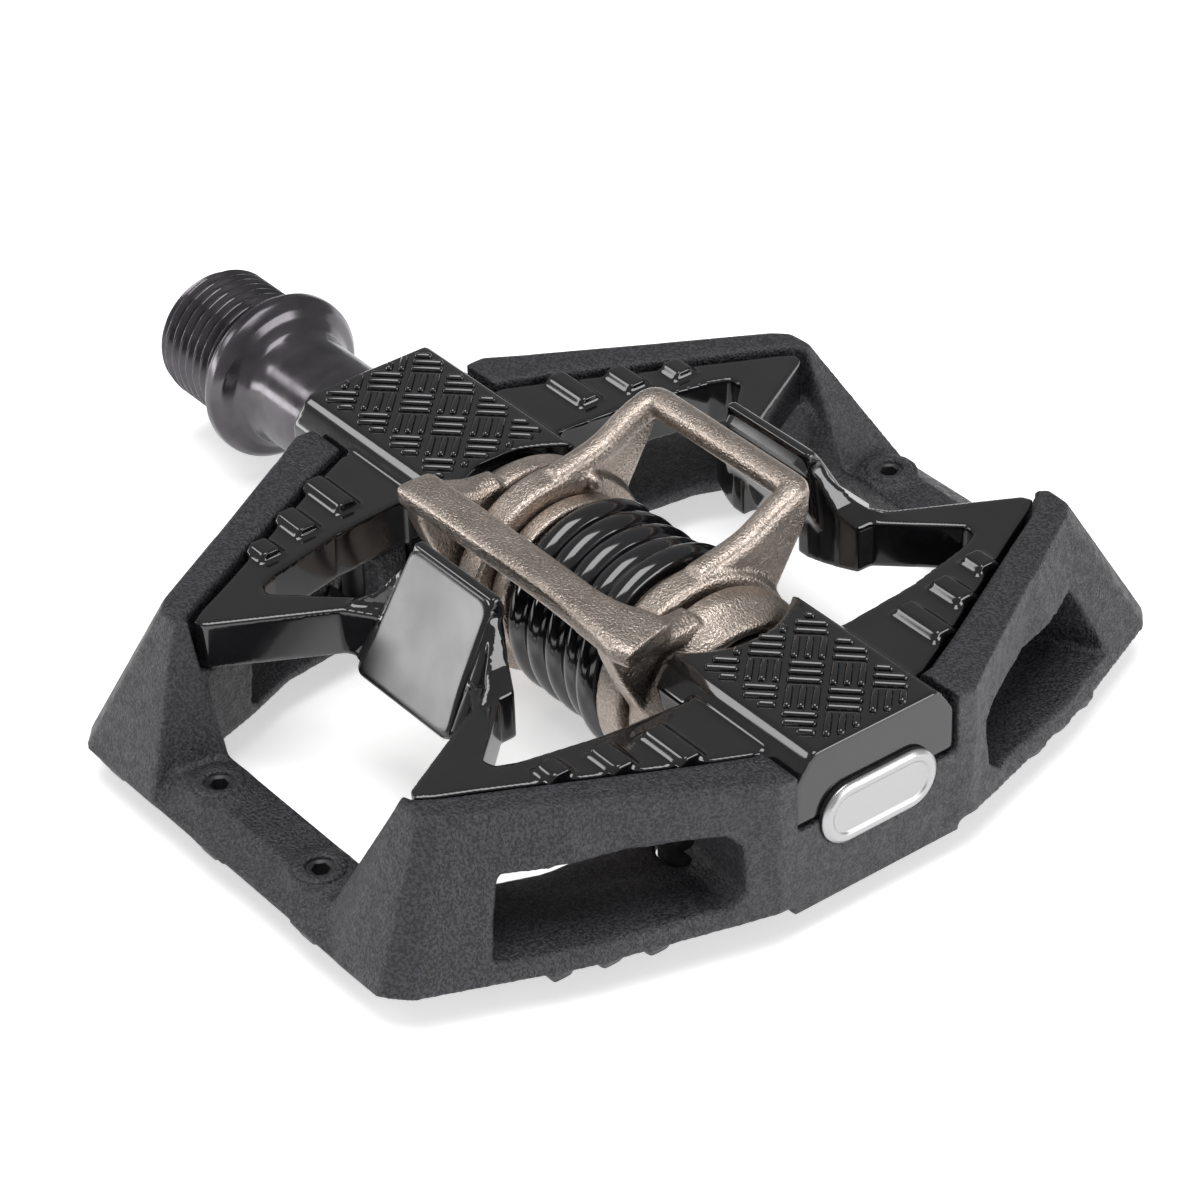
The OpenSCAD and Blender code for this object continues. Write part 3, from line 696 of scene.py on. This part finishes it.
# %% Spring
WIRE_R, COIL_R, COIL_PITCH, COIL_START, COIL_TURNS = 1.4, 8.5, 2.81, 35.0, 4.52
SWING_FROM, SWING_TO, SWING_OUT = 3.6, 4.0, 0.7


def spring_rings(steps=430, around=24):
    """Circle of wire carried along x = x0 + pitch t, y = R cos a, z = R sin a, with a the angle after t turns.

    R grows smoothly between two turns near the end, by 3 s^2 - 2 s^3 of the swing. The circle lies in the plane of
    X and the radius, and it shrinks over the last three steps, as sqrt(1 - s^2), to round the wire's ends.
    """
    t = np.linspace(0, COIL_TURNS, steps)
    a = np.radians(COIL_START) + 2 * np.pi * t
    swing = np.clip((t - SWING_FROM) / (SWING_TO - SWING_FROM), 0, 1)
    radius = COIL_R + SWING_OUT * swing**2 * (3 - 2 * swing)
    out = np.stack([np.zeros_like(a), np.cos(a), np.sin(a)], -1)
    centre = out * radius[:, None] + np.stack([MIDDLE - 5.2 + COIL_PITCH * t, 0 * t, 0 * t], -1)
    b = np.linspace(0, 2 * np.pi, around, endpoint=False)
    from_end = np.minimum(np.arange(steps), np.arange(steps)[::-1])
    tip = np.sqrt(1 - (np.clip(3 - from_end, 0, 3) / 3.2) ** 2)
    along_x = -np.sin(b)[None, :, None] * np.array([1.0, 0, 0])
    return centre[:, None] + WIRE_R * tip[:, None, None] * (along_x + np.cos(b)[None, :, None] * out[:, None])


piece("coil_spring", [shell(spring_rings())], "platform", SPRING_BLACK, ["torsion_spring"], 60)

# %% Collars
for node, name in (("wing_collar_inboard", "collar_inboard"), ("wing_collar_outboard", "collar_outboard")):
    low, high = node_box(node)
    piece(name, [ring_shell(low[0], high[0], 6.9, high[1], None, 0.45)], "platform",
          CAST_BRONZE, [node])

# %% [markdown]
# ## Cap and screws
# The cap is a pressed stadium with a raised rim round a plain face. Its surface is a row of outlines that shrink
# towards the middle: each has the same two centres and a smaller radius, and its height follows a rim profile. The
# grip screws are hex set screws, each a little below a raised lip of the cage.

# %% End cap
cap_low, cap_high = node_box("end_cap")
CAP_FACE, PLUG_END, CAP_Z = float(cap_high[0]), float(cap_low[0]), float(cap_low[2] + cap_high[2]) / 2
CAP_SEAT = float(node_box("cap_gasket")[1][0])
CAP_R = float(cap_high[2] - cap_low[2]) / 2
CAP_REACH = float(cap_high[1] - cap_low[1]) / 2 - CAP_R
PLUG_IN = 0.87
RIM_HIGH = CAP_FACE - CAP_SEAT
# Distance in from the outline and height above the seat: round the plug, over the rim and down to the face
RIM = rolled([(PLUG_IN, PLUG_END - CAP_SEAT), (PLUG_IN, 0), (0, 0), (0, RIM_HIGH - 0.35), (0.45, RIM_HIGH),
              (0.95, RIM_HIGH), (1.25, RIM_HIGH - 0.25), (1.9, RIM_HIGH - 0.25)], 0.16, 5)


def cap_rings(around=96):
    """Outlines of the cap: y = (the nearer centre) + (R - d) cos a, z = (R - d) sin a, x = seat + height."""
    a = np.linspace(0, 2 * np.pi, around, endpoint=False) + np.pi / around
    centre = np.where(np.cos(a) > 0, CAP_REACH, -CAP_REACH)
    radius = CAP_R - RIM[:, :1]
    x = np.broadcast_to(CAP_SEAT + RIM[:, 1:], (len(RIM), around))
    return np.stack([x, centre + radius * np.cos(a), CAP_Z + radius * np.sin(a)], -1)


piece("silver_cap", [shell(cap_rings())], "platform", SATIN_SILVER, ["end_cap"], 50)


# %% Grip screws
SCREW_R, SCREW_FLAT = 1.97, 0.8
# Height above the screw's end and radius of the raised lip round each screw
LIP = rolled([(-0.5, 1.3), (-0.5, 2.6), (-0.05, 2.45), (0.12, 2.1), (0.12, 1.5), (-0.1, 1.3)], 0.15, 3, closed=True)


def set_screw(x, y, low, high):
    """Hex set screw about Z: a lathe profile whose socket radius swells to six corners, stood on its end."""
    rim, socket_floor = high - 0.2, high - 1.9
    line = np.array([(low, 0.02), (low, 1.3), (low + 0.5, SCREW_R), (high - 0.5, SCREW_R), (rim, 1.4), (rim, 1.1),
                     (rim - 0.15, 0.9), (rim - 0.15, SCREW_FLAT), (socket_floor, SCREW_FLAT), (socket_floor, 0.02)])
    line = rolled(line, 0.08, 3)
    around = 48
    angle = np.linspace(0, 2 * np.pi, around, endpoint=False)
    radius = np.repeat(line[:, 1:], around, 1)
    past_rim = np.arange(len(line)) > len(line) * 0.68
    socket_row = past_rim[:, None] & (radius > 0.5) & (radius < 0.88)
    radius = np.where(socket_row, radius / np.cos(np.mod(angle, np.pi / 3) - np.pi / 6), radius)
    z = np.repeat(line[:, :1], around, 1)
    return shell(np.stack([x + radius * np.cos(angle), y + radius * np.sin(angle), z], -1))


for side, node in ((-1, "front_traction_pins"), (1, "rear_traction_pins")):
    low, high = node_box(node)
    depth = (low[2], high[2])
    middle_y = (low[1] + high[1]) / 2
    places = (low[0] + 2.0, high[0] - 2.0)
    screws = [set_screw(x, middle_y, *depth) for x in places]
    ring, ring_faces = lathe(LIP, 48, True)
    # The ring is turned about X; swapping x and z stands it on Z, and mirrors it, so its faces are turned round
    bosses = [(ring[:, ::-1] + [x, middle_y, high[2]], [face[::-1] for face in ring_faces]) for x in places]
    piece(node.replace("traction_pins", "screw_bosses"), bosses, "platform", CAGE_GREY)
    piece(node.replace("traction_pins", "grip_screws"), screws, "platform",
          OTHER_FINISHES["black_screw_steel"], [node], 40)

# %% [markdown]
# ## Floor, light and camera
# A pale seamless floor that glows a little, like a light table, with large soft lights. Gloss black shows only what
# it reflects, so each panel stands where its reflection falls on chosen slopes and misses the flat tops: the low one
# on the left is for the guide plates, the one above it for the chamfers along the tread, the one overhead for the
# spring and the tread bars, and the one on the right for the cage's far side.

# %% Floor and world
floor_mesh = bpy.data.meshes.new("pale_floor")
floor_mesh.from_pydata([(-3, -3, 0), (3, -3, 0), (3, 3, 0), (-3, 3, 0)], [], [(0, 1, 2, 3)])
for vertex in floor_mesh.vertices:
    vertex.co.z = cad_box[0][2] - 0.0002
floor = bpy.data.objects.new("pale_floor", floor_mesh)
bpy.context.scene.collection.objects.link(floor)
paper, _, paper_shader = new_finish("pale_light_table", (0.93, 0.93, 0.93), 0.9, specular=0.1)
paper_shader.inputs["Emission Color"].default_value = (1, 1, 1, 1)
paper_shader.inputs["Emission Strength"].default_value = 0.5
floor_mesh.materials.append(paper)

world = bpy.data.worlds.new("studio")
bpy.context.scene.world = world
world.use_nodes = True
world.node_tree.nodes["Background"].inputs["Color"].default_value = (1, 1, 1, 1)
world.node_tree.nodes["Background"].inputs["Strength"].default_value = 0.32
bpy.context.scene.view_settings.view_transform = "Standard"

# %% Camera
AZIMUTH, ELEVATION, ROLL = np.radians(53.257), np.radians(34.719), np.radians(-1.989)
DISTANCE, LENS, SENSOR = 0.3968, 125.8785, 36.0
TARGET = np.array([0.05447, 0.00018, 0.0])
back = np.array([np.sin(AZIMUTH) * np.cos(ELEVATION), -np.cos(AZIMUTH) * np.cos(ELEVATION), np.sin(ELEVATION)])
right = np.array([np.cos(AZIMUTH), np.sin(AZIMUTH), 0])
up = np.cross(back, right)
right, up = (np.cos(ROLL) * right + np.sin(ROLL) * up, -np.sin(ROLL) * right + np.cos(ROLL) * up)
camera_data = bpy.data.cameras.new("camera")
camera_data.sensor_width = SENSOR
camera_data.lens = LENS
camera_data.clip_start, camera_data.clip_end = 0.01, 20
camera = bpy.data.objects.new("camera", camera_data)
bpy.context.scene.collection.objects.link(camera)
camera.matrix_world = Matrix(np.vstack([np.column_stack([right, up, back, TARGET + back * DISTANCE]), [0, 0, 0, 1]]))
bpy.context.scene.camera = camera
print("camera at", (TARGET + back * DISTANCE).round(4))


# %% Soft panels
def panel(name, place, size, radiance, aim=(0.055, 0, 0)):
    """Rectangular area light at place, facing aim. Its power is radiance * pi * area."""
    light = bpy.data.lights.new(name, "AREA")
    light.shape, light.size, light.size_y = "RECTANGLE", *size
    light.energy = radiance * np.pi * size[0] * size[1]
    made = bpy.data.objects.new(name, light)
    made.location = place
    made.rotation_euler = (Vector(aim) - Vector(place)).to_track_quat("-Z", "Y").to_euler()
    made.visible_camera = False
    bpy.context.scene.collection.objects.link(made)
    return made


panel("panel_over", (0.1, -0.1, 1.3), (0.9, 0.9), 5.0)
panel("panel_left_front", (-0.50, -0.58, 0.105), (0.60, 0.15), 5.9)
panel("panel_left_high", (-0.60, -0.50, 0.56), (0.28, 0.22), 4.5)
panel("panel_right", (0.80, 0.30, 0.22), (0.5, 0.4), 5.0)
